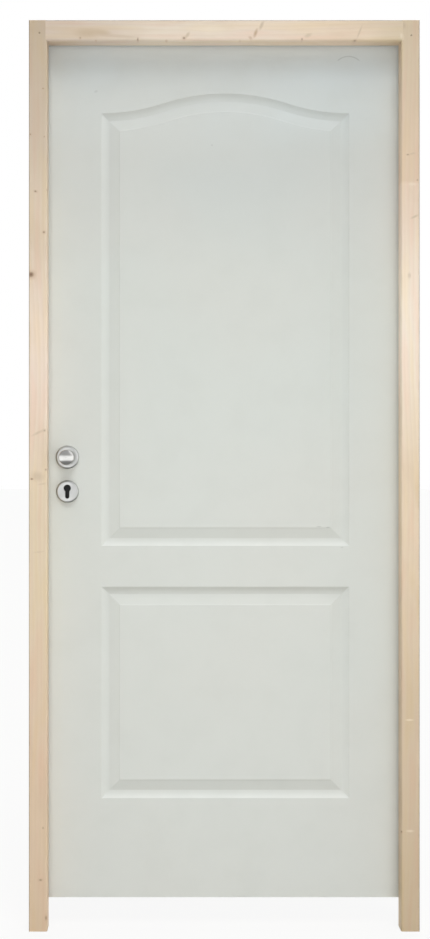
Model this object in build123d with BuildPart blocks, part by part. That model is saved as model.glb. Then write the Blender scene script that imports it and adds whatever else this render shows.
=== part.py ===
from build123d import *
import os

# A prehung interior door, in millimetres: a moulded two-panel leaf on three lift-off
# hinges in a softwood frame, with a round knob and a profile-cylinder lock.
# It is seen from the side on which it is pushed. X runs to the right, Y away from the
# viewer and Z up. The origin lies on the hinge post's wall face, at the foot of the post
# and halfway through the frame's depth.

# Frame
frame_width = 900.0
frame_height = 2100.0
frame_depth = 90.0
post_face = 42.0
head_face = 47.0
rebate_depth = 13.0
inner_arris = 4.0
outer_arris = 1.5

# Leaf
leaf_thickness = 40.0
hinge_gap = 5.0
lock_gap = 6.5
top_gap = 5.0
stop_gap = 5.0
floor_gap = 65.0
skin_thickness = 3.0
stile_width = 35.0
rail_width = 34.0

# Moulded panels
panel_lock_margin = 129.5
panel_hinge_margin = 122.5
panel_bottom_margin = 231.3
lower_panel_height = 493.9
panel_spacing = 95.2
panel_top_margin = 118.5
arch_rise = 46.7
moulding_width = 43.0
cove_width = 18.0
valley_depth = 7.0
bevel_end_depth = 2.2
field_depth = 1.2
field_step = 2.0
quirk = 0.8

# Lock
backset = 50.0
spindle_height = 1027.5
lock_centres = 72.0
lock_block_width = 65.0
lock_block_height = 320.0
case_depth = 75.0
case_height = 165.0
case_thickness = 16.0
case_above_spindle = 50.0
forend_length = 235.0
forend_width = 20.0
forend_thickness = 3.0
bolt_thickness = 12.0
bolt_height = 30.0
bolt_length = 32.0
bolt_clearance = 0.3
latch_above_spindle = 8.0
deadbolt_below_spindle = 46.0
key_circle = 17.0
key_slot = 10.0
key_drop = 33.0
key_margin = 3.0
strike_thickness = 2.0
strike_width = 25.0
strike_length = 180.0
strike_hole_margin = 2.0
strike_pocket = 15.0
plate_corner = 6.0

# Knob and roses
rose_diameter = 55.0
key_rose_diameter = 53.0
rose_thickness = 8.0
rose_edge = 5.0
key_rose_drop = 80.0
neck_radius = 11.0
neck_clearance = 0.08
collar_reach = 2.0
waist_radius = 8.5
waist_end = 19.0
knob_radius = 18.0
knob_reach = 50.0
crown_depth = 15.0
dome_depth = 5.0
knob_edge = 4.0
spindle_side = 8.0
spindle_hole = 7.0
spindle_end = 20.0
seat_gap = 0.3

# Hinges
hinge_count = 3
hinge_height = 100.0
hinge_end_distance = 200.0
flap_thickness = 2.5
flap_depth = 32.0
flap_corner = 8.0
knuckle_radius = 7.0
knuckle_gap = 0.5
knuckle_cap = 3.0
knuckle_rounding = 1.5
pin_radius = 4.0
pin_clearance = 0.08
pin_offset = 8.0

# Planes of the frame
front_y = -frame_depth / 2
back_y = frame_depth / 2
stop_y = back_y - leaf_thickness - stop_gap
hinge_rebate_x = -(post_face - rebate_depth)
lock_rebate_x = -frame_width + post_face - rebate_depth
head_rebate_z = frame_height - head_face + rebate_depth
middle_x = -frame_width / 2

# Planes of the leaf
leaf_front_y = stop_y + stop_gap
leaf_back_y = leaf_front_y + leaf_thickness
leaf_middle_y = (leaf_front_y + leaf_back_y) / 2
leaf_hinge_x = hinge_rebate_x - hinge_gap
leaf_lock_x = lock_rebate_x + lock_gap
leaf_bottom_z = floor_gap
leaf_top_z = head_rebate_z - top_gap
core_front_y = leaf_front_y + skin_thickness
core_back_y = leaf_back_y - skin_thickness

# Places on the leaf
spindle_x = leaf_lock_x + backset
spindle_z = leaf_bottom_z + spindle_height
key_z = spindle_z - lock_centres
key_rose_z = spindle_z - key_rose_drop
case_top_z = spindle_z + case_above_spindle
case_bottom_z = case_top_z - case_height
case_middle_z = (case_top_z + case_bottom_z) / 2
latch_z = spindle_z + latch_above_spindle
deadbolt_z = spindle_z - deadbolt_below_spindle
pin_x = (hinge_rebate_x + leaf_hinge_x) / 2
pin_y = leaf_back_y + pin_offset
flap_middle_y = leaf_back_y - flap_depth / 2

panel_left_x = leaf_lock_x + panel_lock_margin
panel_right_x = leaf_hinge_x - panel_hinge_margin
panel_middle_x = (panel_left_x + panel_right_x) / 2
lower_panel_z = leaf_bottom_z + panel_bottom_margin
upper_panel_z = lower_panel_z + lower_panel_height + panel_spacing
shoulder_z = leaf_top_z - panel_top_margin - arch_rise


def upright(y):
    """Plane across the door at depth y: its x is X, its y is Z, it faces the viewer."""
    return Plane.XZ.offset(-y)


def box_between(low, high):
    """Add a box given by its lowest and highest corners."""
    size = [b - a for a, b in zip(low, high)]
    middle = [(a + b) / 2 for a, b in zip(low, high)]
    with Locations(tuple(middle)):
        Box(*size)


def cut_box(low, high):
    """Cut a box given by its lowest and highest corners."""
    size = [b - a for a, b in zip(low, high)]
    middle = [(a + b) / 2 for a, b in zip(low, high)]
    with Locations(tuple(middle)):
        Box(*size, mode=Mode.SUBTRACT)


def key_hole():
    """Profile-cylinder outline: a circle over a narrower slot with a round end."""
    slot_end = key_z + key_circle / 2 - key_drop + key_slot / 2
    with Locations((spindle_x, key_z)):
        Circle(key_circle / 2)
    with Locations((spindle_x, slot_end)):
        Circle(key_slot / 2)
    with Locations((spindle_x, (key_z + slot_end) / 2)):
        Rectangle(key_slot, key_z - slot_end)


def key_mortise():
    """Plain slot behind the rose, wide enough for the whole cylinder outline."""
    top = key_z + key_circle / 2 + key_margin
    length = key_drop + 2 * key_margin
    with Locations((spindle_x, top - length / 2)):
        SlotOverall(length, key_circle + 2 * key_margin, rotation=90)


def across_leaf(x):
    """Plane across the door's width at x: its x is Y and its y is Z."""
    return Plane.YZ.offset(x)


def flap_shape(middle_z):
    """Hinge flap: its inner corners are rounded, its edge at the knuckle is square."""
    with Locations((flap_middle_y, middle_z)):
        RectangleRounded(flap_depth, hinge_height, flap_corner)
    with Locations((leaf_back_y - flap_corner / 2, middle_z)):
        Rectangle(flap_corner, hinge_height)


def forend_shape():
    """Outline of the lock's forend, seen from the leaf's edge."""
    with Locations((leaf_middle_y, case_middle_z)):
        RectangleRounded(forend_width, forend_length, plate_corner)


def strike_shape():
    """Outline of the strike plate, seen from the leaf's edge."""
    with Locations((leaf_middle_y, case_middle_z)):
        RectangleRounded(strike_width, strike_length, plate_corner)


def strike_holes():
    """Holes for the bolts, seen from the leaf's edge."""
    for bolt_z in (latch_z, deadbolt_z):
        with Locations((leaf_middle_y, bolt_z)):
            Rectangle(bolt_thickness + 2 * strike_hole_margin, bolt_height + 2 * strike_hole_margin)


# Mortise of the lock's case.
case_box = (
    (leaf_lock_x + forend_thickness, leaf_middle_y - case_thickness / 2, case_bottom_z),
    (leaf_lock_x + forend_thickness + case_depth, leaf_middle_y + case_thickness / 2, case_top_z),
)

os.makedirs("parts", exist_ok=True)
pieces = []


def keep(piece, name):
    """Name a finished piece and list it for export."""
    piece.part.label = name
    pieces.append(piece)


# Head: one length of rebated lining, its rounded arris mitred into those of the posts.
head_bottom_z = frame_height - head_face
with BuildPart() as head:
    box_between(
        (-frame_width + post_face - inner_arris, front_y, head_bottom_z),
        (-post_face + inner_arris, stop_y, frame_height),
    )
    fillet(head.edges().filter_by(Axis.X).group_by(Axis.Z)[0].sort_by(Axis.Y)[0], inner_arris)
    fillet(head.edges().filter_by(Axis.X).group_by(Axis.Z)[-1].sort_by(Axis.Y)[0], outer_arris)
    with BuildSketch(upright(front_y)):
        for side in (1, -1):
            stop_x = middle_x + side * (frame_width / 2 - post_face)
            with BuildLine():
                Polyline(
                    (stop_x, head_bottom_z),
                    (stop_x + side * inner_arris, head_bottom_z),
                    (stop_x + side * inner_arris, head_bottom_z + inner_arris),
                    close=True,
                )
            make_face()
    extrude(amount=front_y - stop_y, mode=Mode.SUBTRACT)
    box_between(
        (lock_rebate_x, stop_y, head_rebate_z),
        (hinge_rebate_x, back_y, frame_height),
    )
keep(head, "head")


def post_outline(side):
    """Section of a post at the floor; side is 1 on the hinge side and -1 on the lock side."""
    wall = middle_x + side * frame_width / 2
    stop = wall - side * post_face
    rebate = stop + side * rebate_depth
    Polyline(
        (wall, front_y),
        (stop, front_y),
        (stop, stop_y),
        (rebate, stop_y),
        (rebate, back_y),
        (wall, back_y),
        close=True,
    )


def hinge_places():
    """Heights of the middles of the hinges."""
    low = leaf_bottom_z + hinge_end_distance + hinge_height / 2
    high = leaf_top_z - hinge_end_distance - hinge_height / 2
    step = (high - low) / (hinge_count - 1)
    return [low + step * index for index in range(hinge_count)]


with BuildPart() as hinge_post:
    with BuildSketch(Plane.XY) as hinge_section:
        with BuildLine():
            post_outline(1)
        make_face()
        inner, outer = hinge_section.vertices().group_by(Axis.Y)[0].sort_by(Axis.X)
        fillet(inner, inner_arris)
        fillet(outer, outer_arris)
    extrude(amount=frame_height)
    add(head.part, mode=Mode.SUBTRACT)
    with BuildSketch(across_leaf(hinge_rebate_x)):
        for middle_z in hinge_places():
            flap_shape(middle_z)
    extrude(amount=flap_thickness, mode=Mode.SUBTRACT)
keep(hinge_post, "hinge_post")

with BuildPart() as lock_post:
    with BuildSketch(Plane.XY) as lock_section:
        with BuildLine():
            post_outline(-1)
        make_face()
        outer, inner = lock_section.vertices().group_by(Axis.Y)[0].sort_by(Axis.X)
        fillet(inner, inner_arris)
        fillet(outer, outer_arris)
    extrude(amount=frame_height)
    add(head.part, mode=Mode.SUBTRACT)
    with BuildSketch(across_leaf(lock_rebate_x)):
        strike_shape()
    extrude(amount=-strike_thickness, mode=Mode.SUBTRACT)
    with BuildSketch(across_leaf(lock_rebate_x)):
        strike_holes()
    extrude(amount=-strike_thickness - strike_pocket, mode=Mode.SUBTRACT)
keep(lock_post, "lock_post")

# Strike plate, let in flush, with a hole for each bolt.
with BuildPart() as strike_plate:
    with BuildSketch(across_leaf(lock_rebate_x)):
        strike_shape()
    extrude(amount=-strike_thickness)
    with BuildSketch(across_leaf(lock_rebate_x)):
        strike_holes()
    extrude(amount=-strike_thickness, mode=Mode.SUBTRACT)
keep(strike_plate, "strike_plate")


# Panel outlines. The upper one ends in two equal tangent arcs on each side of its crest.
half_panel = (panel_right_x - panel_left_x) / 2
arch_radius = (half_panel**2 + arch_rise**2) / (4 * arch_rise)


def half_lower_outline():
    """Hinge-side half of the lower panel's outline, from bottom middle to top middle."""
    top_z = lower_panel_z + lower_panel_height
    Polyline(
        (panel_middle_x, lower_panel_z),
        (panel_right_x, lower_panel_z),
        (panel_right_x, top_z),
        (panel_middle_x, top_z),
    )


def half_upper_outline():
    """Hinge-side half of the upper panel's outline: the arch dips, then rises to its crest."""
    dip = RadiusArc(
        (panel_right_x, shoulder_z),
        (panel_right_x - half_panel / 2, shoulder_z + arch_rise / 2),
        arch_radius,
    )
    Polyline(
        (panel_middle_x, upper_panel_z),
        (panel_right_x, upper_panel_z),
        (panel_right_x, shoulder_z),
    )
    RadiusArc(dip @ 1, (panel_middle_x, shoulder_z + arch_rise), -arch_radius)


def moulding_section():
    """Section of the pressed moulding, a cove and a bevel: x into the panel, y out of the leaf."""
    step_start = moulding_width - field_step
    for drop in (0, skin_thickness):
        TangentArc(
            (cove_width, -valley_depth - drop),
            (0, -quirk - drop),
            tangent=(-1, 0),
        )
        Polyline(
            (cove_width, -valley_depth - drop),
            (step_start, -bevel_end_depth - drop),
            (moulding_width, -field_depth - drop),
        )
    Line((0, -quirk), (0, -quirk - skin_thickness))
    Line((moulding_width, -field_depth), (moulding_width, -field_depth - skin_thickness))


half_panels = ((half_lower_outline, lower_panel_z), (half_upper_outline, upper_panel_z))


# Each panel is pressed into the skin: a moulding swept round half of its outline, the
# raised field inside it, and the other half by reflection.
panel_middle = Plane.YZ.offset(panel_middle_x)
with BuildPart() as pressings:
    for half_outline, bottom_z in half_panels:
        with BuildLine(upright(leaf_front_y)) as half_path:
            half_outline()
        section_plane = Plane(
            origin=(panel_middle_x, leaf_front_y, bottom_z), x_dir=(0, 0, 1), z_dir=(1, 0, 0)
        )
        with BuildSketch(section_plane) as section:
            with BuildLine():
                moulding_section()
            make_face()
        sweep(sections=section.sketch, path=half_path.line, transition=Transition.RIGHT)
    mirror(about=panel_middle)
    for half_outline, bottom_z in half_panels:
        with BuildSketch(upright(leaf_front_y + field_depth)):
            with BuildLine():
                half_outline()
                mirror(about=Plane.YZ.offset(panel_middle_x))
            make_face()
            offset(amount=-moulding_width, kind=Kind.INTERSECTION, mode=Mode.REPLACE)
        extrude(amount=-skin_thickness)

with BuildPart() as front_skin:
    with BuildSketch(upright(leaf_front_y)):
        with Locations(((leaf_lock_x + leaf_hinge_x) / 2, (leaf_bottom_z + leaf_top_z) / 2)):
            Rectangle(leaf_hinge_x - leaf_lock_x, leaf_top_z - leaf_bottom_z)
        for half_outline, bottom_z in half_panels:
            with BuildLine():
                half_outline()
                mirror(about=Plane.YZ.offset(panel_middle_x))
            make_face(mode=Mode.SUBTRACT)
    extrude(amount=-skin_thickness)
    add(pressings.part)
    with BuildSketch(upright(leaf_front_y)):
        with Locations((spindle_x, spindle_z)):
            Circle(spindle_hole)
        key_mortise()
    extrude(amount=-skin_thickness, mode=Mode.SUBTRACT)
keep(front_skin, "front_skin")

# The far skin is the same pressing turned round, let in at the edge for the hinge flaps.
leaf_middle = Plane.XZ.offset(-leaf_middle_y)
with BuildPart() as back_skin:
    mirror(front_skin.part, about=leaf_middle)
    with BuildSketch(across_leaf(leaf_hinge_x)):
        for middle_z in hinge_places():
            flap_shape(middle_z)
    extrude(amount=-flap_thickness, mode=Mode.SUBTRACT)
keep(back_skin, "back_skin")

# Softwood edging between the skins, and the block that the lock is mortised into.
with BuildPart() as lock_stile:
    box_between(
        (leaf_lock_x, core_front_y, leaf_bottom_z),
        (leaf_lock_x + stile_width, core_back_y, leaf_top_z),
    )
    with BuildSketch(across_leaf(leaf_lock_x)):
        forend_shape()
    extrude(amount=forend_thickness, mode=Mode.SUBTRACT)
    cut_box(*case_box)
keep(lock_stile, "lock_stile")

with BuildPart() as hinge_stile:
    box_between(
        (leaf_hinge_x - stile_width, core_front_y, leaf_bottom_z),
        (leaf_hinge_x, core_back_y, leaf_top_z),
    )
    with BuildSketch(across_leaf(leaf_hinge_x)):
        for middle_z in hinge_places():
            flap_shape(middle_z)
    extrude(amount=-flap_thickness, mode=Mode.SUBTRACT)
keep(hinge_stile, "hinge_stile")

with BuildPart() as bottom_rail:
    box_between(
        (leaf_lock_x + stile_width, core_front_y, leaf_bottom_z),
        (leaf_hinge_x - stile_width, core_back_y, leaf_bottom_z + rail_width),
    )
keep(bottom_rail, "bottom_rail")

with BuildPart() as top_rail:
    box_between(
        (leaf_lock_x + stile_width, core_front_y, leaf_top_z - rail_width),
        (leaf_hinge_x - stile_width, core_back_y, leaf_top_z),
    )
keep(top_rail, "top_rail")

with BuildPart() as lock_block:
    block_x = leaf_lock_x + stile_width
    half_block = lock_block_height / 2
    box_between(
        (block_x, core_front_y, case_middle_z - half_block),
        (block_x + lock_block_width, core_back_y, case_middle_z + half_block),
    )
    cut_box(*case_box)
    with BuildSketch(upright(core_front_y)):
        with Locations((spindle_x, spindle_z)):
            Circle(spindle_hole)
        key_mortise()
    extrude(amount=core_front_y - core_back_y, mode=Mode.SUBTRACT)
keep(lock_block, "lock_block")


# Mortice lock: case, forend and the two bolts, drawn back flush with the forend.
def bolt_box(middle_z, margin, end_margin):
    """Box of a bolt, larger by the margin all round and longer by the end margin."""
    return (
        (leaf_lock_x, leaf_middle_y - bolt_thickness / 2 - margin, middle_z - bolt_height / 2 - margin),
        (
            leaf_lock_x + bolt_length + end_margin,
            leaf_middle_y + bolt_thickness / 2 + margin,
            middle_z + bolt_height / 2 + margin,
        ),
    )


with BuildPart() as lock_case:
    box_between(*case_box)
    for bolt_z in (latch_z, deadbolt_z):
        cut_box(*bolt_box(bolt_z, bolt_clearance, bolt_clearance))
    with BuildSketch(upright(leaf_middle_y)):
        with Locations((spindle_x, spindle_z)):
            Circle(spindle_hole)
    extrude(amount=case_thickness / 2, both=True, mode=Mode.SUBTRACT)
keep(lock_case, "lock_case")

with BuildPart() as lock_forend:
    with BuildSketch(across_leaf(leaf_lock_x)):
        forend_shape()
    extrude(amount=forend_thickness)
    for bolt_z in (latch_z, deadbolt_z):
        cut_box(*bolt_box(bolt_z, bolt_clearance, bolt_clearance))
keep(lock_forend, "lock_forend")

for name, bolt_z in (("latch_bolt", latch_z), ("dead_bolt", deadbolt_z)):
    with BuildPart() as bolt:
        box_between(*bolt_box(bolt_z, 0, 0))
    keep(bolt, name)

# Roses: flat discs with a rounded rim, one bored for the knob, one cut for the key.
with BuildPart() as front_rose:
    with BuildSketch(upright(leaf_front_y)):
        with Locations((spindle_x, spindle_z)):
            Circle(rose_diameter / 2)
            Circle(neck_radius + neck_clearance, mode=Mode.SUBTRACT)
    extrude(amount=rose_thickness)
    rim = front_rose.edges().group_by(Axis.Y)[0].sort_by(SortBy.LENGTH)[-1]
    fillet(rim, rose_edge)
keep(front_rose, "front_rose")

with BuildPart() as front_key_rose:
    with BuildSketch(upright(leaf_front_y)):
        with Locations((spindle_x, key_rose_z)):
            Circle(key_rose_diameter / 2)
    extrude(amount=rose_thickness)
    rim = front_key_rose.edges().group_by(Axis.Y)[0].sort_by(SortBy.LENGTH)[-1]
    fillet(rim, rose_edge)
    with BuildSketch(upright(leaf_front_y)):
        key_hole()
    extrude(amount=rose_thickness, mode=Mode.SUBTRACT)
keep(front_key_rose, "front_key_rose")

# Square spindle, and a turned knob at each end of it.
with BuildPart() as spindle:
    with BuildSketch(upright(leaf_middle_y)):
        with Locations((spindle_x, spindle_z)):
            Rectangle(spindle_side, spindle_side)
    extrude(amount=leaf_thickness / 2 + spindle_end, both=True)
keep(spindle, "spindle")


def from_axis(radius, reach):
    """Point of the knob's section, by radius and by reach from the leaf's face."""
    return (spindle_x + radius, leaf_front_y - reach)


with BuildPart() as front_knob:
    with BuildSketch(Plane.XY.offset(spindle_z)) as knob_section:
        with BuildLine():
            collar_end = rose_thickness + collar_reach
            Polyline(
                from_axis(0, knob_reach),
                from_axis(0, seat_gap),
                from_axis(neck_radius, seat_gap),
                from_axis(neck_radius, collar_end),
                from_axis(waist_radius, collar_end),
                from_axis(waist_radius, waist_end),
            )
            TangentArc(
                from_axis(waist_radius, waist_end),
                from_axis(knob_radius, knob_reach - crown_depth),
                tangent=(0, -1),
            )
            Line(
                from_axis(knob_radius, knob_reach - crown_depth),
                from_axis(knob_radius, knob_reach - dome_depth),
            )
            TangentArc(
                from_axis(0, knob_reach),
                from_axis(knob_radius, knob_reach - dome_depth),
                tangent=(1, 0),
            )
        make_face()
        fillet(knob_section.vertices().group_by(Axis.X)[-1].sort_by(Axis.Y)[0], knob_edge)
    revolve(axis=Axis((spindle_x, 0, spindle_z), (0, 1, 0)))
    add(spindle.part, mode=Mode.SUBTRACT)
keep(front_knob, "front_knob")

for front in (front_rose, front_key_rose, front_knob):
    with BuildPart() as back:
        mirror(front.part, about=leaf_middle)
    keep(back, front.part.label.replace("front", "back"))

# Lift-off hinges: the frame's half carries the pin, the leaf's half drops over it.
hinge_names = ("lower", "middle", "upper")
for place, middle_z in zip(hinge_names, hinge_places()):
    low_z = middle_z - hinge_height / 2
    high_z = middle_z + hinge_height / 2
    with BuildPart() as frame_hinge:
        with BuildSketch(Plane.XY.offset(low_z)):
            with Locations((pin_x, pin_y)):
                Circle(knuckle_radius)
        extrude(amount=hinge_height / 2 - knuckle_gap / 2)
        fillet(frame_hinge.edges().group_by(Axis.Z)[0], knuckle_rounding)
        with BuildSketch(across_leaf(hinge_rebate_x)):
            flap_shape(middle_z)
        extrude(amount=flap_thickness)
        box_between(
            (hinge_rebate_x, back_y, low_z),
            (hinge_rebate_x + flap_thickness, pin_y, middle_z - knuckle_gap / 2),
        )
        with BuildSketch(Plane.XY.offset(low_z)):
            with Locations((pin_x, pin_y)):
                Circle(pin_radius)
        extrude(amount=hinge_height - 2 * knuckle_cap)
    keep(frame_hinge, f"{place}_frame_hinge")
    with BuildPart() as leaf_hinge:
        with BuildSketch(Plane.XY.offset(middle_z + knuckle_gap / 2)):
            with Locations((pin_x, pin_y)):
                Circle(knuckle_radius)
        extrude(amount=hinge_height / 2 - knuckle_gap / 2)
        fillet(leaf_hinge.edges().group_by(Axis.Z)[-1], knuckle_rounding)
        with BuildSketch(across_leaf(leaf_hinge_x)):
            flap_shape(middle_z)
        extrude(amount=-flap_thickness)
        box_between(
            (leaf_hinge_x - flap_thickness, leaf_back_y, middle_z + knuckle_gap / 2),
            (leaf_hinge_x, pin_y, high_z),
        )
        with BuildSketch(Plane.XY.offset(middle_z + knuckle_gap / 2)):
            with Locations((pin_x, pin_y)):
                Circle(pin_radius + pin_clearance)
        extrude(amount=hinge_height / 2 - knuckle_gap / 2 - knuckle_cap, mode=Mode.SUBTRACT)
    keep(leaf_hinge, f"{place}_leaf_hinge")

for piece in pieces:
    export_step(piece.part, f"parts/{piece.part.label}.step")
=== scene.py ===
import math

import bmesh
import bpy
from mathutils import Matrix, Vector


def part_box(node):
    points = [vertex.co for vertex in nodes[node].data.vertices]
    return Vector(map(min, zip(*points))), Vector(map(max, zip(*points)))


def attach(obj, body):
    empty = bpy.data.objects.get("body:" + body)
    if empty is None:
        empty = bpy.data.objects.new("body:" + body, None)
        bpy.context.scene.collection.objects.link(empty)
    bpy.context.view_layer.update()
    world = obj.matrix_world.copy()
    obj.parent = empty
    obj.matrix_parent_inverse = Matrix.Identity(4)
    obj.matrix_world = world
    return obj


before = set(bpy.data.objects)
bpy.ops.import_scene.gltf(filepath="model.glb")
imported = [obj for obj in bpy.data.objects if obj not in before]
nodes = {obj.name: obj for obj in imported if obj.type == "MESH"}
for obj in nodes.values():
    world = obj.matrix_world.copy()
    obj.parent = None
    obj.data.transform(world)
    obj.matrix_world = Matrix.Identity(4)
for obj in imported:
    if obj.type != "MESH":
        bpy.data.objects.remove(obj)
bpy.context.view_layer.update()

# All lengths are metres, in the frame's own axes: X right, Y away from the viewer, Z up.
MM = 0.001

# Photograph: its size in pixels, and where the camera stood.
PHOTO_WIDTH = 430
PHOTO_HEIGHT = 939
SENSOR = 36.0
CAMERA_DISTANCE = 3.60
CAMERA_X = -0.575
CAMERA_Z = 1.111
FRONT_SCALE = 2.304 * MM
PRINCIPAL_X = 170.0
PRINCIPAL_Y = 449.4
VIEW_LIMIT = 50.0

post_low, post_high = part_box("hinge_post")
leaf_low, leaf_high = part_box("front_skin")
front_y = post_low[1]
leaf_y = leaf_low[1]
collection = bpy.context.scene.collection


def photo_point(across, down, depth=0.0):
    """Frame X and Z of a pixel of the photograph, at a depth behind the frame's face."""
    scale = FRONT_SCALE * (1 + depth / CAMERA_DISTANCE)
    return CAMERA_X + (across - PRINCIPAL_X) * scale, CAMERA_Z - (down - PRINCIPAL_Y) * scale


def srgb(red, green, blue):
    """Linear colour of an sRGB triple of 0 to 255."""
    def linear(value):
        value /= 255
        return value / 12.92 if value <= 0.04045 else ((value + 0.055) / 1.055) ** 2.4

    return (linear(red), linear(green), linear(blue), 1.0)


# Camera: square on to the door, a little left of its middle.
camera_data = bpy.data.cameras.new("camera")
camera = bpy.data.objects.new("camera", camera_data)
collection.objects.link(camera)
camera.location = (CAMERA_X, front_y - CAMERA_DISTANCE, CAMERA_Z)
camera.rotation_euler = (math.radians(90), 0, 0)
camera_data.sensor_width = SENSOR
camera_data.sensor_fit = "AUTO"
camera_data.lens = SENSOR * CAMERA_DISTANCE / (PHOTO_HEIGHT * FRONT_SCALE)
camera_data.shift_x = (PHOTO_WIDTH / 2 - PRINCIPAL_X) / PHOTO_HEIGHT
camera_data.shift_y = -(PHOTO_HEIGHT / 2 - PRINCIPAL_Y) / PHOTO_HEIGHT
camera_data.clip_end = VIEW_LIMIT
bpy.context.scene.camera = camera

WHITE = (1.0, 1.0, 1.0, 1.0)
# Places of a Mix node's sockets, by what it mixes: its three inputs, and its output.
MIX_INPUTS = {"FLOAT": (0, 2, 3), "RGBA": (0, 6, 7)}
MIX_OUTPUT = {"FLOAT": 0, "RGBA": 2}


class Graph:
    """A node tree in the making: short calls add nodes and return their output sockets."""

    def __init__(self, tree):
        self.tree = tree

    def node(self, kind, **settings):
        made = self.tree.nodes.new(kind)
        for key, value in settings.items():
            setattr(made, key, value)
        return made

    def feed(self, socket, value):
        """Link a socket into an input, or set the input to a plain value."""
        if isinstance(value, bpy.types.NodeSocket):
            self.tree.links.new(value, socket)
        else:
            socket.default_value = value

    def math(self, operation, first, second=0.0):
        made = self.node("ShaderNodeMath", operation=operation)
        for socket, value in zip(made.inputs, (first, second)):
            self.feed(socket, value)
        return made.outputs[0]

    def vector(self, operation, first, second=(0.0, 0.0, 0.0)):
        made = self.node("ShaderNodeVectorMath", operation=operation)
        self.feed(made.inputs[0], first)
        self.feed(made.inputs[1], second)
        return made.outputs["Value" if operation in ("LENGTH", "DOT_PRODUCT") else "Vector"]

    def parts(self, vector):
        """The three numbers of a vector."""
        made = self.node("ShaderNodeSeparateXYZ")
        self.feed(made.inputs[0], vector)
        return made.outputs

    def joined(self, x, y, z):
        made = self.node("ShaderNodeCombineXYZ")
        for socket, value in zip(made.inputs, (x, y, z)):
            self.feed(socket, value)
        return made.outputs[0]

    def ramp(self, value, start, end, low=0.0, high=1.0, smooth=True):
        """Map a value from start..end to low..high, and hold it there outside."""
        made = self.node("ShaderNodeMapRange", interpolation_type="SMOOTHSTEP" if smooth else "LINEAR")
        for socket, number in zip(made.inputs, (value, start, end, low, high)):
            self.feed(socket, number)
        return made.outputs[0]

    def noise(self, place, scale, detail=3.0, roughness=0.5):
        made = self.node("ShaderNodeTexNoise")
        self.feed(made.inputs["Vector"], place)
        made.inputs["Scale"].default_value = scale
        made.inputs["Detail"].default_value = detail
        made.inputs["Roughness"].default_value = roughness
        return made.outputs[0]

    def blend(self, amount, first, second, kind="MIX", data_type="RGBA"):
        """Mix two colours, or two numbers where the data type is FLOAT."""
        made = self.node("ShaderNodeMix", data_type=data_type, blend_type=kind)
        for place, value in zip(MIX_INPUTS[data_type], (amount, first, second)):
            self.feed(made.inputs[place], value)
        return made.outputs[MIX_OUTPUT[data_type]]

    def tone(self, value, stops):
        """Colour of a value on a scale of (value, colour) stops, eased between them."""
        scale = self.node("ShaderNodeValToRGB")
        low, high = stops[0][0], stops[-1][0]
        self.feed(scale.inputs[0], self.ramp(value, low, high, smooth=False))
        scale.color_ramp.interpolation = "EASE"
        elements = scale.color_ramp.elements
        while len(elements) < len(stops):
            elements.new(0.5)
        for element, (place, colour) in zip(elements, stops):
            element.position = (place - low) / (high - low)
            element.color = colour
        return scale.outputs[0]


class Recipe(Graph):
    """A node material in the making."""

    def __init__(self, name):
        self.material = bpy.data.materials.new(name)
        self.material.use_nodes = True
        super().__init__(self.material.node_tree)
        self.shader = self.tree.nodes["Principled BSDF"]
        self.place = self.node("ShaderNodeTexCoord").outputs["Object"]

    def spot(self, centre, size, angle, softness):
        """1 inside an ellipsoid, falling to 0 at its edge over the softness.
        The angle turns it in X and Z."""
        shifted = self.vector("SUBTRACT", self.place, centre)
        if angle:
            turn = self.node("ShaderNodeVectorRotate", rotation_type="Y_AXIS")
            self.feed(turn.inputs["Vector"], shifted)
            turn.inputs["Angle"].default_value = math.radians(angle)
            shifted = turn.outputs[0]
        scaled = self.vector("MULTIPLY", shifted, tuple(1 / length for length in size))
        return self.ramp(self.vector("LENGTH", scaled), 1.0, 1.0 - softness)

    def bump(self, height, strength, distance):
        made = self.node("ShaderNodeBump")
        made.inputs["Strength"].default_value = strength
        made.inputs["Distance"].default_value = distance
        self.feed(made.inputs["Height"], height)
        self.tree.links.new(made.outputs[0], self.shader.inputs["Normal"])

    def finish(self, colour, roughness, metallic=0.0, specular=0.5):
        self.feed(self.shader.inputs["Base Color"], colour)
        self.feed(self.shader.inputs["Roughness"], roughness)
        self.shader.inputs["Metallic"].default_value = metallic
        self.shader.inputs["Specular IOR Level"].default_value = specular
        return self.material


# Pine: its colour by height or by width, in metres along the grain. The tone tables hold the wood's
# own tone with painted shade in it, darker towards the frame's top corners and towards the foot of the
# hinge post.
PINE_DEEP = srgb(196, 168, 134)
PINE_CREAM = srgb(255, 246, 214)
PINE_PINK = srgb(255, 232, 222)
KNOT_HALO = srgb(200, 170, 142)
KNOT_HEART = srgb(112, 84, 66)
STREAK_TAN = srgb(202, 180, 154)
PALE_SAP = srgb(248, 236, 220)
ARRIS_SHADE_COLOUR = srgb(122, 110, 96)
GRAIN_STRETCH = 0.04
TINT_STRETCH = 0.1
PATCH_STRETCH = 0.4
WANDER_SCALE = 1.1
TINT_SCALE = 46.0
PATCH_SCALE = 16.0
FIBRE_SCALE = 1100.0
RING_SETTINGS = {
    "Scale": 30.0,
    "Distortion": 4.0,
    "Detail": 3.0,
    "Detail Scale": 1.4,
    "Detail Roughness": 0.6,
}
KNOT_BEND = 6 * MM
RING_WANDER = 50 * MM
TINT_SHARE = 0.34
PATCH_SHARE = 0.18
RING_SHARE = 0.09
FIBRE_SHARE = 0.08
# A darker line along the outer arris of each front face: painted shade, patchy along its length.
ARRIS_SHADE_REACH = 2.2 * MM
ARRIS_SHADE_CORE = 0.6 * MM
ARRIS_SHADE_DEPTH = 6 * MM
MARK_DEPTH = 30 * MM
MARK_SOFTNESS = 0.9
HEART_SHARE = 0.5
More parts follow.
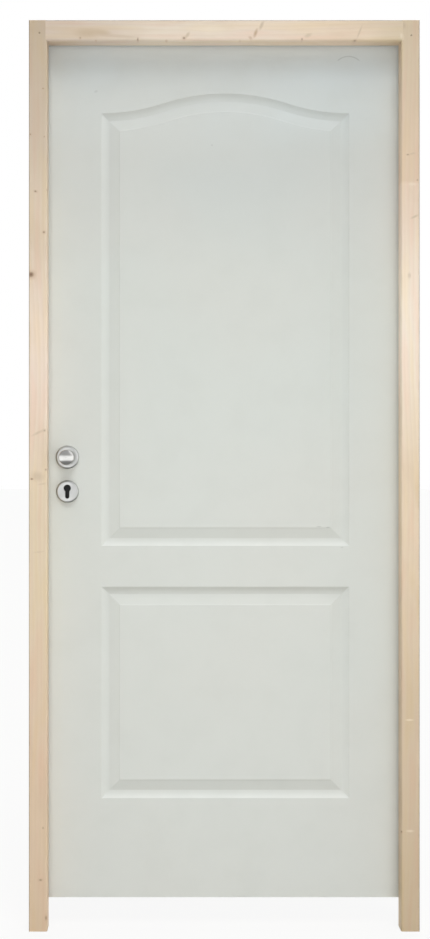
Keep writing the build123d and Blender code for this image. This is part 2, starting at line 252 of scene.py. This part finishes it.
# Lock post: darker towards its top, painted shade over the wood's pale band.
LOCK_POST_TONES_AND_SHADE = (
    (0.0, srgb(217, 193, 167)),
    (0.35, srgb(222, 198, 174)),
    (0.9, srgb(226, 208, 183)),
    (1.35, srgb(241, 222, 207)),
    (1.62, srgb(226, 208, 188)),
    (1.88, srgb(208, 191, 172)),
    (2.1, srgb(199, 181, 160)),
)
# Hinge post: darker towards its top and its foot, painted shade over the wood's pale band.
HINGE_POST_TONES_AND_SHADE = (
    (0.0, srgb(201, 181, 154)),
    (0.45, srgb(211, 191, 167)),
    (1.0, srgb(232, 212, 188)),
    (1.42, srgb(250, 235, 219)),
    (1.722, srgb(234, 213, 194)),
    (1.729, srgb(226, 203, 180)),
    (2.1, srgb(214, 196, 172)),
)
# Head: darker towards both ends, painted shade at the frame's top corners.
HEAD_TONES_AND_SHADE = (
    (-0.86, srgb(216, 199, 184)),
    (-0.74, srgb(222, 206, 192)),
    (-0.60, srgb(236, 222, 206)),
    (-0.40, srgb(239, 222, 206)),
    (-0.17, srgb(238, 218, 197)),
    (-0.04, srgb(221, 204, 181)),
)
MARK_COLOURS = {"knot": KNOT_HALO, "rust": KNOT_HALO, "streak": STREAK_TAN, "pale": PALE_SAP}


def growth_rings(wood, place):
    """Growth lines of pine along a place's X, from 0 to 1 at their dark side."""
    rings = wood.node("ShaderNodeTexWave", wave_type="BANDS", bands_direction="X", wave_profile="SAW")
    wood.feed(rings.inputs["Vector"], place)
    for setting, value in RING_SETTINGS.items():
        rings.inputs[setting].default_value = value
    return wood.ramp(rings.outputs["Fac"], 0.2, 1.0)


def painted_arris_shade(wood, across, depth, edge, patch):
    """How much painted shade lies along the outer arris of a front face, from 0 to 1, patchy along its
    length.
    """
    reach = wood.math("ABSOLUTE", wood.math("SUBTRACT", across, edge))
    beside = wood.ramp(reach, ARRIS_SHADE_REACH, ARRIS_SHADE_CORE)
    behind = wood.ramp(depth, front_y + ARRIS_SHADE_DEPTH, front_y)
    arris_shade_mask = wood.math("MULTIPLY", beside, behind)
    return wood.math("MULTIPLY", arris_shade_mask, wood.ramp(patch, 0.2, 0.6, 0.55, 0.85))


def pine(name, along, tones_and_shade, marks, edge, seed):
    """Planed pine with its grain along one axis. The marks are knots and streaks, each a kind,
    centre, size, angle and strength; the edge is the height or the place in X of its outer arris,
    along which runs a line of painted shade."""
    wood = Recipe(name)
    x, y, z = wood.parts(wood.place)
    length, across = (x, z) if along == "X" else (z, x)
    halos = 0.0
    placed = []
    for mark in marks:
        kind, centre, size, angle, strength = mark
        halo = wood.math("MULTIPLY", wood.spot(centre, size, angle, MARK_SOFTNESS), strength)
        placed.append((mark, halo))
        halos = wood.math("ADD", halos, halo)
    # The growth lines wander, and bend round each knot.
    wander_place = wood.joined(seed, wood.math("MULTIPLY", y, 3.0), length)
    wander = wood.noise(wander_place, WANDER_SCALE, detail=1.0)
    bent = wood.math("ADD", across, wood.math("MULTIPLY", halos, KNOT_BEND))
    bent = wood.math("ADD", bent, wood.math("MULTIPLY", wander, RING_WANDER))
    squeezed = wood.math("MULTIPLY", length, GRAIN_STRETCH)
    grain_place = wood.joined(bent, y, wood.math("ADD", squeezed, seed))
    ring = growth_rings(wood, grain_place)
    tint_place = wood.joined(bent, y, wood.math("MULTIPLY", length, TINT_STRETCH))
    tint = wood.noise(tint_place, TINT_SCALE, detail=1.5)
    patch_place = wood.joined(across, y, wood.math("MULTIPLY", length, PATCH_STRETCH))
    patch = wood.noise(patch_place, PATCH_SCALE)
    fibre = wood.noise(grain_place, FIBRE_SCALE, roughness=0.6)

    # The wood's tone along its length, with painted shade in it.
    colour = wood.tone(length, tones_and_shade)
    # Cream and pinkish bands, and the growth lines over them, all faint.
    cream = wood.ramp(tint, 0.3, 0.55, TINT_SHARE, 0.0)
    pink = wood.ramp(tint, 0.45, 0.7, 0.0, TINT_SHARE)
    colour = wood.blend(cream, colour, PINE_CREAM, "MULTIPLY")
    colour = wood.blend(pink, colour, PINE_PINK, "MULTIPLY")
    colour = wood.blend(wood.ramp(patch, 0.5, 0.75, 0.0, PATCH_SHARE), colour, PINE_DEEP)
    colour = wood.blend(wood.math("MULTIPLY", ring, RING_SHARE), colour, PINE_DEEP)
    colour = wood.blend(wood.ramp(fibre, 0.35, 0.75, 0.0, FIBRE_SHARE), colour, PINE_DEEP)
    for (kind, centre, size, angle, strength), halo in placed:
        colour = wood.blend(halo, colour, MARK_COLOURS[kind])
        if kind == "knot":
            heart_size = tuple(reach * HEART_SHARE for reach in size)
            heart = wood.spot(centre, heart_size, angle, MARK_SOFTNESS)
            colour = wood.blend(wood.math("MULTIPLY", heart, strength), colour, KNOT_HEART)
    # A darker line along each outer arris: painted shade.
    colour = wood.blend(painted_arris_shade(wood, across, y, edge, patch), colour, ARRIS_SHADE_COLOUR)
    relief = wood.math("ADD", wood.math("MULTIPLY", fibre, 0.5), wood.math("MULTIPLY", ring, 0.3))
    wood.bump(relief, strength=0.2, distance=0.5 * MM)
    return wood.finish(colour, wood.ramp(fibre, 0.3, 0.8, 0.55, 0.68), specular=0.3)


def front_mark(kind, across, down, wide, high, strength, angle=0.0):
    """A knot or streak on the frame's front face, at a pixel of the photograph."""
    x, z = photo_point(across, down)
    half = FRONT_SCALE / 2
    return (kind, (x, front_y, z), (wide * half, MARK_DEPTH, high * half), angle, strength)


LOCK_POST_MARKS = (
    front_mark("knot", 30.3, 134.3, 4, 5, 0.5),
    front_mark("knot", 44.3, 136.6, 4, 4, 0.35),
    front_mark("knot", 35.4, 191.3, 7, 5, 0.6, -14),
    front_mark("knot", 47.7, 189.8, 4.5, 5, 0.65),
    front_mark("knot", 43.9, 232.2, 6, 6, 0.6),
    front_mark("streak", 46.2, 250.0, 2.5, 34, 0.35, -2),
    front_mark("knot", 31.0, 274.5, 15, 14, 0.8, 12),
    front_mark("streak", 48.0, 275.0, 4, 18, 0.5),
    front_mark("streak", 43.6, 152.0, 2, 34, 0.25),
    front_mark("streak", 46.5, 162.0, 2, 44, 0.25),
    front_mark("knot", 44.5, 430.5, 6, 6, 0.35),
    front_mark("streak", 38.0, 432.8, 20, 4, 0.55, 26),
    front_mark("knot", 45.9, 469.7, 4, 5, 0.5),
    front_mark("streak", 37.5, 476.5, 20, 15, 0.6, -8),
    front_mark("knot", 31.8, 479.0, 6, 4, 0.75),
    front_mark("streak", 42.0, 484.0, 14, 3, 0.45, 8),
    front_mark("streak", 39.0, 552.0, 18, 3, 0.35, 6),
    front_mark("knot", 43.0, 828.0, 4, 5, 0.4),
    front_mark("knot", 48.4, 851.0, 3, 4.5, 0.7),
    front_mark("knot", 40.5, 880.0, 9, 6, 0.45),
    front_mark("knot", 46.0, 918.0, 6, 13, 0.5),
    front_mark("knot", 43.0, 88.4, 4, 4, 0.5),
    front_mark("streak", 43.2, 96.0, 3, 16, 0.25),
)
HINGE_POST_MARKS = (
    front_mark("streak", 403.8, 25.5, 6, 10, 0.8),
    front_mark("pale", 402.6, 37.0, 4, 10, 0.35),
    front_mark("knot", 407.8, 154.6, 7, 3.5, 0.45),
    front_mark("streak", 412.5, 153.5, 11, 3, 0.5, 14),
    front_mark("knot", 417.4, 180.0, 3, 4, 0.5),
    front_mark("pale", 412.5, 184.0, 12, 5, 0.3),
    front_mark("streak", 414.5, 216.7, 12, 3.5, 0.7, 26),
    front_mark("streak", 409.5, 275.5, 5, 9, 0.5),
    front_mark("pale", 412.0, 306.0, 8, 30, 0.4),
    front_mark("pale", 409.5, 720.0, 12, 3, 0.5),
    front_mark("knot", 401.6, 832.0, 4.5, 5, 0.75),
    front_mark("pale", 410.0, 831.0, 12, 4, 0.4),
)
HEAD_MARKS = (
    front_mark("knot", 80.2, 37.9, 5, 5, 0.55),
    front_mark("streak", 88.0, 33.0, 40, 15, 0.85),
    front_mark("streak", 103.0, 33.0, 26, 10, 0.75, -10),
    front_mark("streak", 122.0, 36.5, 50, 5, 0.5, -3),
    front_mark("knot", 95.9, 42.8, 4, 9, 0.95),
    front_mark("knot", 137.8, 39.3, 3.5, 7, 0.6),
    front_mark("knot", 166.4, 42.8, 5, 9, 0.95),
    front_mark("knot", 184.0, 38.1, 7, 6, 0.6),
    front_mark("streak", 187.5, 35.0, 5, 10, 0.7, -34),
    front_mark("pale", 215.0, 29.0, 60, 12, 0.35),
    front_mark("knot", 240.0, 43.4, 6, 9, 0.9),
    front_mark("rust", 255.6, 33.0, 5, 14, 0.95, -20),
    front_mark("rust", 250.5, 38.0, 7, 5, 0.6, -40),
    front_mark("streak", 261.5, 25.5, 5, 15, 0.7, -24),
    front_mark("knot", 257.8, 44.4, 4, 9, 0.9),
    front_mark("streak", 308.0, 35.5, 12, 6, 0.5, 20),
    front_mark("knot", 302.0, 39.2, 4, 5, 0.5),
    front_mark("knot", 354.9, 41.0, 7, 6, 0.6),
    front_mark("streak", 359.5, 32.0, 3, 22, 0.6, -22),
    front_mark("pale", 401.4, 36.0, 4, 9, 0.35),
)
lock_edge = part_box("lock_post")[0][0]
hinge_edge = post_high[0]
head_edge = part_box("head")[1][2]
pine_lock_post = pine("pine_lock_post", "Z", LOCK_POST_TONES_AND_SHADE, LOCK_POST_MARKS, lock_edge, 0.0)
pine_hinge_post = pine("pine_hinge_post", "Z", HINGE_POST_TONES_AND_SHADE, HINGE_POST_MARKS, hinge_edge, 5.0)
pine_head = pine("pine_head", "X", HEAD_TONES_AND_SHADE, HEAD_MARKS, head_edge, 9.0)


# Darker marks on the skin: pixel across and down, width, height, angle and strength. Most of them lie
# along edges of the upper panel's moulding.
SKIN_MARKS = (
    (96.0, 91.5, 6.0, 3.5, 24.0, 0.16),
    (212.0, 145.0, 3.0, 3.0, 0.0, 0.18),
    (319.0, 526.6, 8.0, 1.8, 0.0, 0.28),
    (328.0, 527.4, 6.0, 1.8, 0.0, 0.30),
    (342.0, 547.5, 4.0, 2.0, 0.0, 0.18),
)
# Primer tones up the leaf, by share of its height: a shade cooler towards the top. The darker band
# near 0.86 is painted shade, and the brighter band near 0.97 is painted light that lifts the shade
# under the head.
SKIN_TONES_AND_PAINTED_LIGHT = (
    (0.0, srgb(216, 217, 212)),
    (0.25, srgb(214, 216, 211)),
    (0.70, srgb(214, 217, 212)),
    (0.86, srgb(206, 209, 206)),
    (0.93, srgb(213, 218, 217)),
    (0.97, srgb(219, 226, 228)),
    (1.0, srgb(207, 213, 215)),
)
SKIN_CLOUD = srgb(216, 215, 209)
SKIN_BLOTCH = srgb(200, 202, 196)
SKIN_MARK_GREY = srgb(120, 122, 120)
SKIN_MARK_DEPTH = 8 * MM
SKIN_MARK_SOFTNESS = 0.8
CLOUD_SHARE = 0.5
BLOTCH_SHARE = 0.12
WAVE_SHARE = 6.0
# The scrape is an arc, which fades out towards its ends between two heights over its centre.
SCRAPE = srgb(132, 138, 136)
SCRAPE_PIXEL = (348.5, 72.0)
SCRAPE_RADIUS = 15.8 * FRONT_SCALE
SCRAPE_REACH = 0.9 * FRONT_SCALE
SCRAPE_CORE = 0.2 * FRONT_SCALE
SCRAPE_ENDS = (0.66 * SCRAPE_RADIUS, 0.80 * SCRAPE_RADIUS)
SCRAPE_STRENGTH = 0.30


def primed_skin():
    """Factory-primed moulded fibreboard: near white, faintly blotched, with a few darker marks, and
    bands of painted shade and painted light near the top.
    """
    skin = Recipe("primed_skin")
    place = skin.place
    cloud = skin.noise(place, scale=2.2, detail=2.0)
    blotch = skin.noise(place, scale=14.0)
    share = skin.ramp(skin.parts(place)[2], leaf_low[2], leaf_high[2], smooth=False)
    # Primer tone by height, with a band of painted shade and a band of painted light near the top.
    tone = skin.tone(share, SKIN_TONES_AND_PAINTED_LIGHT)
    colour = skin.blend(skin.ramp(cloud, 0.3, 0.7, 0.0, CLOUD_SHARE), tone, SKIN_CLOUD)
    colour = skin.blend(skin.ramp(blotch, 0.4, 0.75, 0.0, BLOTCH_SHARE), colour, SKIN_BLOTCH)
    # Darker marks, most of them along edges of the moulding.
    for across, down, wide, high, angle, strength in SKIN_MARKS:
        x, z = photo_point(across, down, leaf_y - front_y)
        size = (wide * FRONT_SCALE / 2, SKIN_MARK_DEPTH, high * FRONT_SCALE / 2)
        mark = skin.spot((x, leaf_y, z), size, angle, SKIN_MARK_SOFTNESS)
        colour = skin.blend(skin.math("MULTIPLY", mark, strength), colour, SKIN_MARK_GREY)
    # A curved scrape near the top corner.
    x, z = photo_point(*SCRAPE_PIXEL, leaf_y - front_y)
    offset = skin.vector("SUBTRACT", place, (x, leaf_y, z))
    away = skin.math("SUBTRACT", skin.vector("LENGTH", offset), SCRAPE_RADIUS)
    line = skin.ramp(skin.math("ABSOLUTE", away), SCRAPE_REACH, SCRAPE_CORE)
    line = skin.math("MULTIPLY", line, skin.ramp(skin.parts(offset)[2], *SCRAPE_ENDS))
    colour = skin.blend(skin.math("MULTIPLY", line, SCRAPE_STRENGTH), colour, SCRAPE)
    peel = skin.noise(place, scale=420.0, detail=2.0)
    wave = skin.noise(place, scale=5.0, detail=1.0, roughness=0.4)
    relief = skin.math("ADD", peel, skin.math("MULTIPLY", wave, WAVE_SHARE))
    skin.bump(relief, strength=0.12, distance=0.4 * MM)
    return skin.finish(colour, skin.ramp(blotch, 0.3, 0.8, 0.42, 0.52))


skin = primed_skin()


CORE_PALE = srgb(226, 202, 168)
CORE_TAN = srgb(208, 180, 142)
CORE_DEEP = srgb(176, 142, 104)
CORE_STRETCH = 0.05


def sawn_wood():
    """Sawn softwood edging of the leaf."""
    wood = Recipe("core_wood")
    x, y, z = wood.parts(wood.place)
    squeezed = wood.joined(x, y, wood.math("MULTIPLY", z, CORE_STRETCH))
    fibre = wood.noise(squeezed, scale=160.0, detail=5.0, roughness=0.65)
    cloud = wood.noise(wood.place, scale=7.0, detail=2.0)
    colour = wood.blend(wood.ramp(cloud, 0.3, 0.7), CORE_PALE, CORE_TAN)
    colour = wood.blend(wood.ramp(fibre, 0.4, 0.8, 0.0, 0.45), colour, CORE_DEEP)
    wood.bump(fibre, strength=0.4, distance=0.8 * MM)
    return wood.finish(colour, roughness=0.72, specular=0.3)


core = sawn_wood()


# A smudge on metal: how dark it is beside the clean metal, and how much of it shows.
SMUDGE_DARK = 0.82
SMUDGE_SHARE = 0.35


def metal(name, colour, roughness, wear=0.06, scale=60.0, anisotropy=0.0, axis=None, metallic=1.0):
    """Plated metal with faint smudges in its polish; brushed round an axis where one is given."""
    plate = Recipe(name)
    smudge = plate.noise(plate.place, scale, roughness=0.6)
    darker = tuple(channel * SMUDGE_DARK for channel in colour[:3]) + (1.0,)
    tone = plate.blend(plate.ramp(smudge, 0.35, 0.8, 0.0, SMUDGE_SHARE), colour, darker)
    if axis:
        plate.shader.inputs["Anisotropic"].default_value = anisotropy
        tangent = plate.node("ShaderNodeTangent", direction_type="RADIAL", axis=axis)
        plate.tree.links.new(tangent.outputs[0], plate.shader.inputs["Tangent"])
    return plate.finish(tone, plate.ramp(smudge, 0.3, 0.8, roughness, roughness + wear), metallic)


satin = metal("satin_metal", srgb(186, 187, 185), 0.30, scale=80.0, anisotropy=0.75, axis="Y")
polished = metal("polished_metal", srgb(198, 198, 195), 0.14, wear=0.05)
zinc = metal("zinc_plate", srgb(172, 173, 172), 0.42, wear=0.12, scale=45.0)
hinge_metal = metal("hinge_metal", srgb(186, 186, 183), 0.34, wear=0.10, scale=50.0)
case_black = metal("case_black", srgb(34, 34, 35), 0.55, wear=0.10, scale=40.0, metallic=0.0)
nail_dark = metal("nail_dark", srgb(104, 84, 70), 0.5, wear=0.2, scale=300.0)

# Finish of each node, by its whole name or by the last word of it. The rest is zinc.
FINISHES = {
    "lock_post": pine_lock_post,
    "hinge_post": pine_hinge_post,
    "head": pine_head,
    "skin": skin,
    "stile": core,
    "rail": core,
    "block": core,
    "case": case_black,
    "rose": satin,
    "knob": polished,
    "hinge": hinge_metal,
}
for name, node in nodes.items():
    last_word = name.split("_")[-1]
    material = FINISHES.get(name, FINISHES.get(last_word, zinc))
    for slot in node.material_slots:
        slot.material = material


# Screws and nails: their heads' shape, in parts of the radius.
HEAD_DOME = 0.05
HEAD_LIFT = 0.03
RIM_DROP = 0.14
RIM_START = 0.88
ARM_WIDTH = (0.19, 0.10)
ARM_LENGTH = (0.62, 0.45)
QUARTER = math.pi / 2


def ease(value, start, end):
    """0 at start, 1 at end, smoothly between them."""
    share = min(max((value - start) / (end - start), 0.0), 1.0)
    return share * share * (3 - 2 * share)


def disc_point(a, b):
    """Point of a disc for a point of a square from -1 to 1, and the ring it lies on."""
    ring = max(abs(a), abs(b))
    if ring == 0:
        return 0.0, 0.0, 0.0
    bearing = math.atan2(b, a)
    bend = QUARTER / 2 * min(abs(a), abs(b)) / ring
    quarter = round(bearing / QUARTER) * QUARTER
    bearing = quarter + math.copysign(bend, bearing - quarter)
    return ring * math.cos(bearing), ring * math.sin(bearing), ring


def heads(
    name, places, facing, radius, body, material, recess=0.34, turns=(20, 65, 5, 48), steps=20
):
    """One object of heads at the given places, all facing the same way. Each is a disc in a face,
    slightly domed, with a cross pressed into it."""
    mesh = bmesh.new()
    outward = Vector(facing).to_track_quat("Z", "Y").to_matrix().to_4x4()
    for number, place in enumerate(places):
        turn = Matrix.Rotation(math.radians(turns[number % len(turns)]), 4, "Z")
        stand = Matrix.Translation(place) @ outward @ turn
        grid = []
        for i in range(steps + 1):
            for j in range(steps + 1):
                u, v, ring = disc_point(2 * i / steps - 1, 2 * j / steps - 1)
                across_arm, along_arm = sorted((abs(u), abs(v)))
                arm = ease(across_arm, *ARM_WIDTH) * ease(along_arm, *ARM_LENGTH)
                dome = HEAD_DOME * (1 - ring * ring) - RIM_DROP * ease(ring, RIM_START, 1.0)
                point = Vector((u, v, dome - recess * arm + HEAD_LIFT)) * radius
                grid.append(mesh.verts.new(stand @ point))
        row = steps + 1
        for i in range(steps):
            for j in range(steps):
                corner = i * row + j
                around = (corner, corner + row, corner + row + 1, corner + 1)
                mesh.faces.new([grid[k] for k in around]).smooth = True
    data = bpy.data.meshes.new(name)
    mesh.to_mesh(data)
    mesh.free()
    piece = bpy.data.objects.new(name, data)
    collection.objects.link(piece)
    data.materials.append(material)
    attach(piece, body)


SCREW_RADIUS = 4.0 * MM
NAIL_RADIUS = 2.2 * MM
LEAF_THICKNESS = 40 * MM
FRAME_FLAP_X = -29 * MM
LEAF_FLAP_X = -34 * MM
# Screws of a flap: height from its middle, and place in Y from the leaf's back face, in mm.
FLAP_SCREWS = ((-36, -20.5), (-14, -10.5), (14, -20.5), (36, -10.5))
for level in ("lower", "middle", "upper"):
    flap_low, flap_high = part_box(f"{level}_frame_hinge")
    middle_z = (flap_low[2] + flap_high[2]) / 2
    leaf_back = leaf_low[1] + LEAF_THICKNESS
    for side, x, facing in (("frame", FRAME_FLAP_X, (-1, 0, 0)), ("leaf", LEAF_FLAP_X, (1, 0, 0))):
        name = f"{level}_{side}_hinge_screws"
        places = [(x, leaf_back + y * MM, middle_z + z * MM) for z, y in FLAP_SCREWS]
        heads(name, places, facing, SCREW_RADIUS, side, hinge_metal)
for name, body, end_margin, facing in (
    ("strike_plate", "frame", 13 * MM, (1, 0, 0)),
    ("lock_forend", "leaf", 10 * MM, (-1, 0, 0)),
):
    low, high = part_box(name)
    x = high[0] if facing[0] > 0 else low[0]
    y = (low[1] + high[1]) / 2
    places = [(x, y, low[2] + end_margin), (x, y, high[2] - end_margin)]
    heads(f"{name}_screws", places, facing, SCREW_RADIUS, body, zinc)

# One nail in each post's face, at a pixel of the photograph.
NAIL_PIXELS = {"lock_post_nail": (39.5, 32.7), "hinge_post_nail": (411.4, 35.3)}
for name, pixel in NAIL_PIXELS.items():
    x, z = photo_point(*pixel)
    heads(
        name, [(x, front_y, z)], (0, -1, 0), NAIL_RADIUS, "frame", nail_dark,
        recess=0.2, turns=(30,), steps=12,
    )

# Floor: a pale plane. It glows for the camera up to white, and keeps a faint shadow of the door.
FLOOR_REACH = 40.0
FLOOR_GLOW = 0.88
FLOOR_COLOUR = srgb(204, 202, 197)
floor_mesh = bpy.data.meshes.new("floor")
sides = (-FLOOR_REACH, FLOOR_REACH)
floor_mesh.from_pydata([(x, y, 0.0) for y in sides for x in sides], [], [(0, 1, 3, 2)])
floor = bpy.data.objects.new("floor", floor_mesh)
collection.objects.link(floor)
ground = Recipe("floor")
floor_mesh.materials.append(ground.finish(FLOOR_COLOUR, roughness=0.9, specular=0.0))
glow = ground.node("ShaderNodeEmission")
glow.inputs["Color"].default_value = WHITE
glow.inputs["Strength"].default_value = 1.0
path = ground.node("ShaderNodeLightPath").outputs
lit = ground.node("ShaderNodeMixShader")
ground.feed(lit.inputs[0], ground.math("MULTIPLY", path["Is Camera Ray"], FLOOR_GLOW))
ground.feed(lit.inputs[1], ground.shader.outputs[0])
ground.feed(lit.inputs[2], glow.outputs[0])
ground.feed(ground.tree.nodes["Material Output"].inputs["Surface"], lit.outputs[0])
floor.visible_glossy = False

# Studio light. Each soft light is far away. In degrees: its azimuth, its elevation, how far off its
# middle it is full, and where it is gone. Then its level.
SOFT_LIGHTS = (
    (8.0, -6.0, 10.0, 30.0, 2.05),
    (8.0, 58.0, 6.0, 22.0, 6.1),
    (8.0, 74.0, 6.0, 24.0, 3.2),
    (-86.0, 8.0, 8.0, 28.0, 2.7),
    (86.0, 8.0, 8.0, 28.0, 3.8),
    (172.0, 62.0, 6.0, 24.0, 3.6),
    (180.0, 24.0, 14.0, 50.0, 1.1),
)
FILL_POWER = 4.9
FILL_SIZE = 1.0
FILL_COLOUR = (1.0, 0.985, 0.95)
FILL_PLACE = (-0.35, -1.75, 0.95)
FILL_TARGET = (-0.42, 0.0, 1.0)
SKY_COLOUR = (0.955, 0.985, 1.0, 1.0)
# What a reflection meets: a bright band just below the horizon, darker beyond it, and one glint.
BAND_SINK = 0.10
BAND_ELEVATION = (10.0, 27.0)
BAND_LEVEL = 1.6
GLOSS_DARK_LOW = 0.30
GLOSS_DARK_HIGH = 0.52
GLOSS_FADE = 0.2
GLINT_SIDE = (62.0, 40.0)
GLINT_REACH = (0.80, 0.95)
GLINT_LEVEL = 0.8


def direction(azimuth, elevation):
    """Unit vector towards a place in front of the door: azimuth to the right, elevation up."""
    turn, rise = math.radians(azimuth), math.radians(elevation)
    return (math.sin(turn) * math.cos(rise), -math.cos(turn) * math.cos(rise), math.sin(rise))


def studio():
    """World: white to the camera, soft lights for what is lit, a bright band in reflections."""
    world = bpy.data.worlds.new("studio")
    bpy.context.scene.world = world
    world.use_nodes = True
    sky = Graph(world.node_tree)
    toward = sky.node("ShaderNodeTexCoord").outputs["Generated"]
    path = sky.node("ShaderNodeLightPath").outputs
    height = sky.parts(toward)[2]

    light = 0.0
    for azimuth, elevation, within, beyond, level in SOFT_LIGHTS:
        facing = sky.vector("DOT_PRODUCT", toward, direction(azimuth, elevation))
        outer, inner = (math.cos(math.radians(angle)) for angle in (beyond, within))
        light = sky.math("ADD", light, sky.ramp(facing, outer, inner, 0.0, level))

    steep = sky.math("ABSOLUTE", sky.math("ADD", height, BAND_SINK))
    start, stop = (math.sin(math.radians(angle)) for angle in BAND_ELEVATION)
    dark = sky.ramp(height, -GLOSS_FADE, GLOSS_FADE, GLOSS_DARK_LOW, GLOSS_DARK_HIGH)
    shine = sky.ramp(steep, start, stop, BAND_LEVEL, dark)
    glint = sky.vector("DOT_PRODUCT", toward, direction(*GLINT_SIDE))
    shine = sky.math("ADD", shine, sky.ramp(glint, *GLINT_REACH, 0.0, GLINT_LEVEL))

    glossy = path["Is Glossy Ray"]
    seen = sky.math("MAXIMUM", path["Is Camera Ray"], path["Is Transmission Ray"])
    plain = sky.math("MAXIMUM", seen, glossy)
    background = sky.tree.nodes["Background"].inputs
    sky.feed(background["Color"], sky.blend(plain, SKY_COLOUR, WHITE))
    unseen = sky.blend(glossy, light, shine, data_type="FLOAT")
    sky.feed(background["Strength"], sky.blend(seen, unseen, 1.0, data_type="FLOAT"))


def fill_light():
    """One broad, weak lamp in front of the door, which reflections leave out."""
    data = bpy.data.lights.new("fill", "AREA")
    data.shape = "DISK"
    data.size = FILL_SIZE
    data.energy = FILL_POWER
    data.color = FILL_COLOUR
    lamp = bpy.data.objects.new("fill", data)
    collection.objects.link(lamp)
    lamp.location = FILL_PLACE
    aim = Vector(FILL_TARGET) - Vector(FILL_PLACE)
    lamp.rotation_euler = aim.to_track_quat("-Z", "Y").to_euler()
    lamp.visible_glossy = False


studio()
fill_light()

bpy.context.scene.view_settings.view_transform = "Standard"
